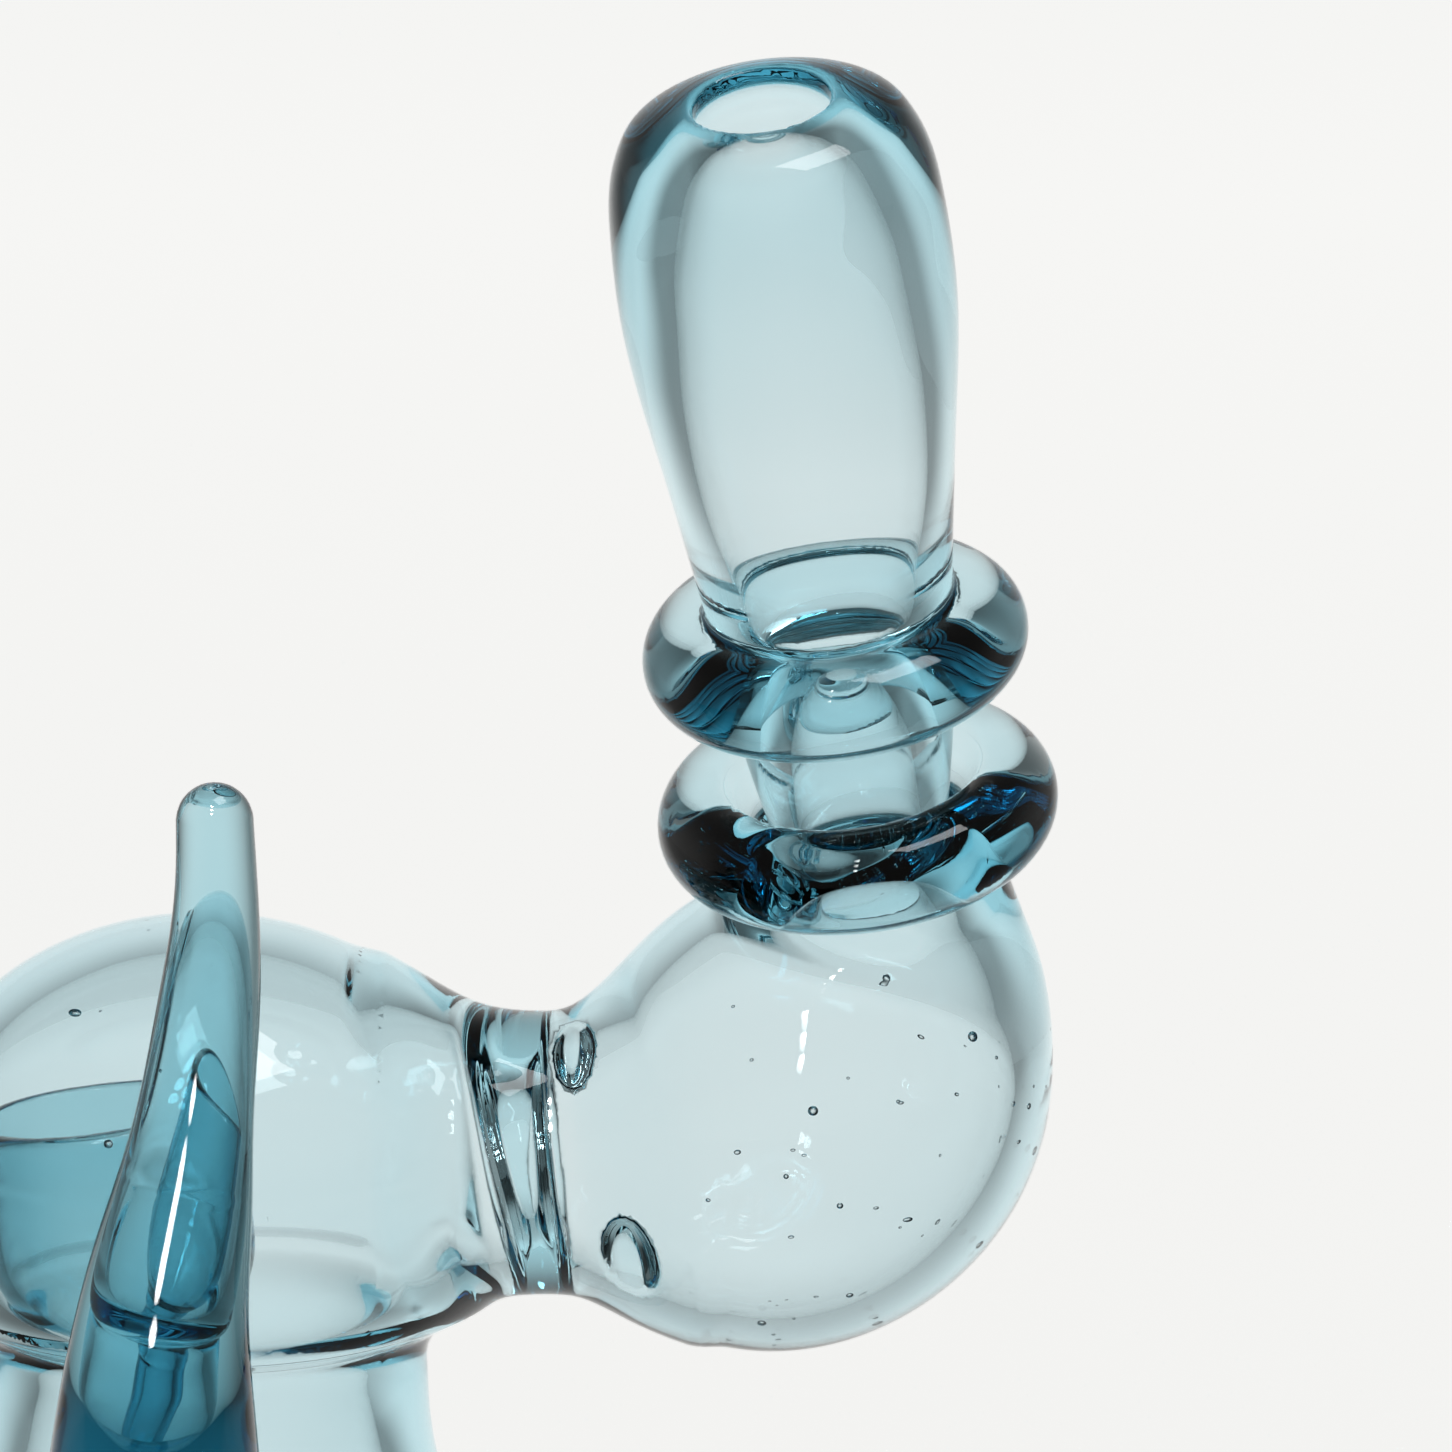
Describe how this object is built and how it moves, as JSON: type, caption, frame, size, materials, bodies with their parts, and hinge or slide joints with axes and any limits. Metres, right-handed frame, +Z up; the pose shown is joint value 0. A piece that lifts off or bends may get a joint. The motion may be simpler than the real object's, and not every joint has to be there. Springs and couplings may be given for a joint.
{
  "type": "s bend airlock",
  "caption": "Hand-blown glass S-bend airlock: stem, lower chamber with riser, bulbs joined by a waist, collared socket, lift-out mouth tube and a horn at the front.",
  "frame": {"origin": "on the stem's axis, level with the top face of the bung that holds it", "axes": "+Z up the stem, +X from the inlet bulb to the outlet bulb, -Y towards the horn and the user"},
  "size_m": [0.0816, 0.0602, 0.1657],
  "materials": {
    "pale_glass": "fire-polished, pale blue, with seed bubbles",
    "teal_glass": "fire-polished, deep teal"
  },
  "bodies": {
    "body": {"stem_tube": "pale_glass", "lower_chamber": "pale_glass", "riser_tube": "teal_glass", "riser_cup": "teal_glass", "inlet_bulb": "pale_glass", "waist_tube": "pale_glass", "outlet_bulb": "pale_glass", "horn": "teal_glass", "socket_neck": "pale_glass", "socket_collar": "pale_glass"},
    "mouthpiece": {"plug": "pale_glass", "grip_collar": "pale_glass", "mouth_barrel": "pale_glass", "mouth_lip": "pale_glass"}
  },
  "joints": [
    {"name": "mouthpiece_lift", "type": "slide", "parent": "body", "child": "mouthpiece", "axis": [-0.1247, -0.2518, 0.9597], "range_m": [0, 0.03]}
  ]
}
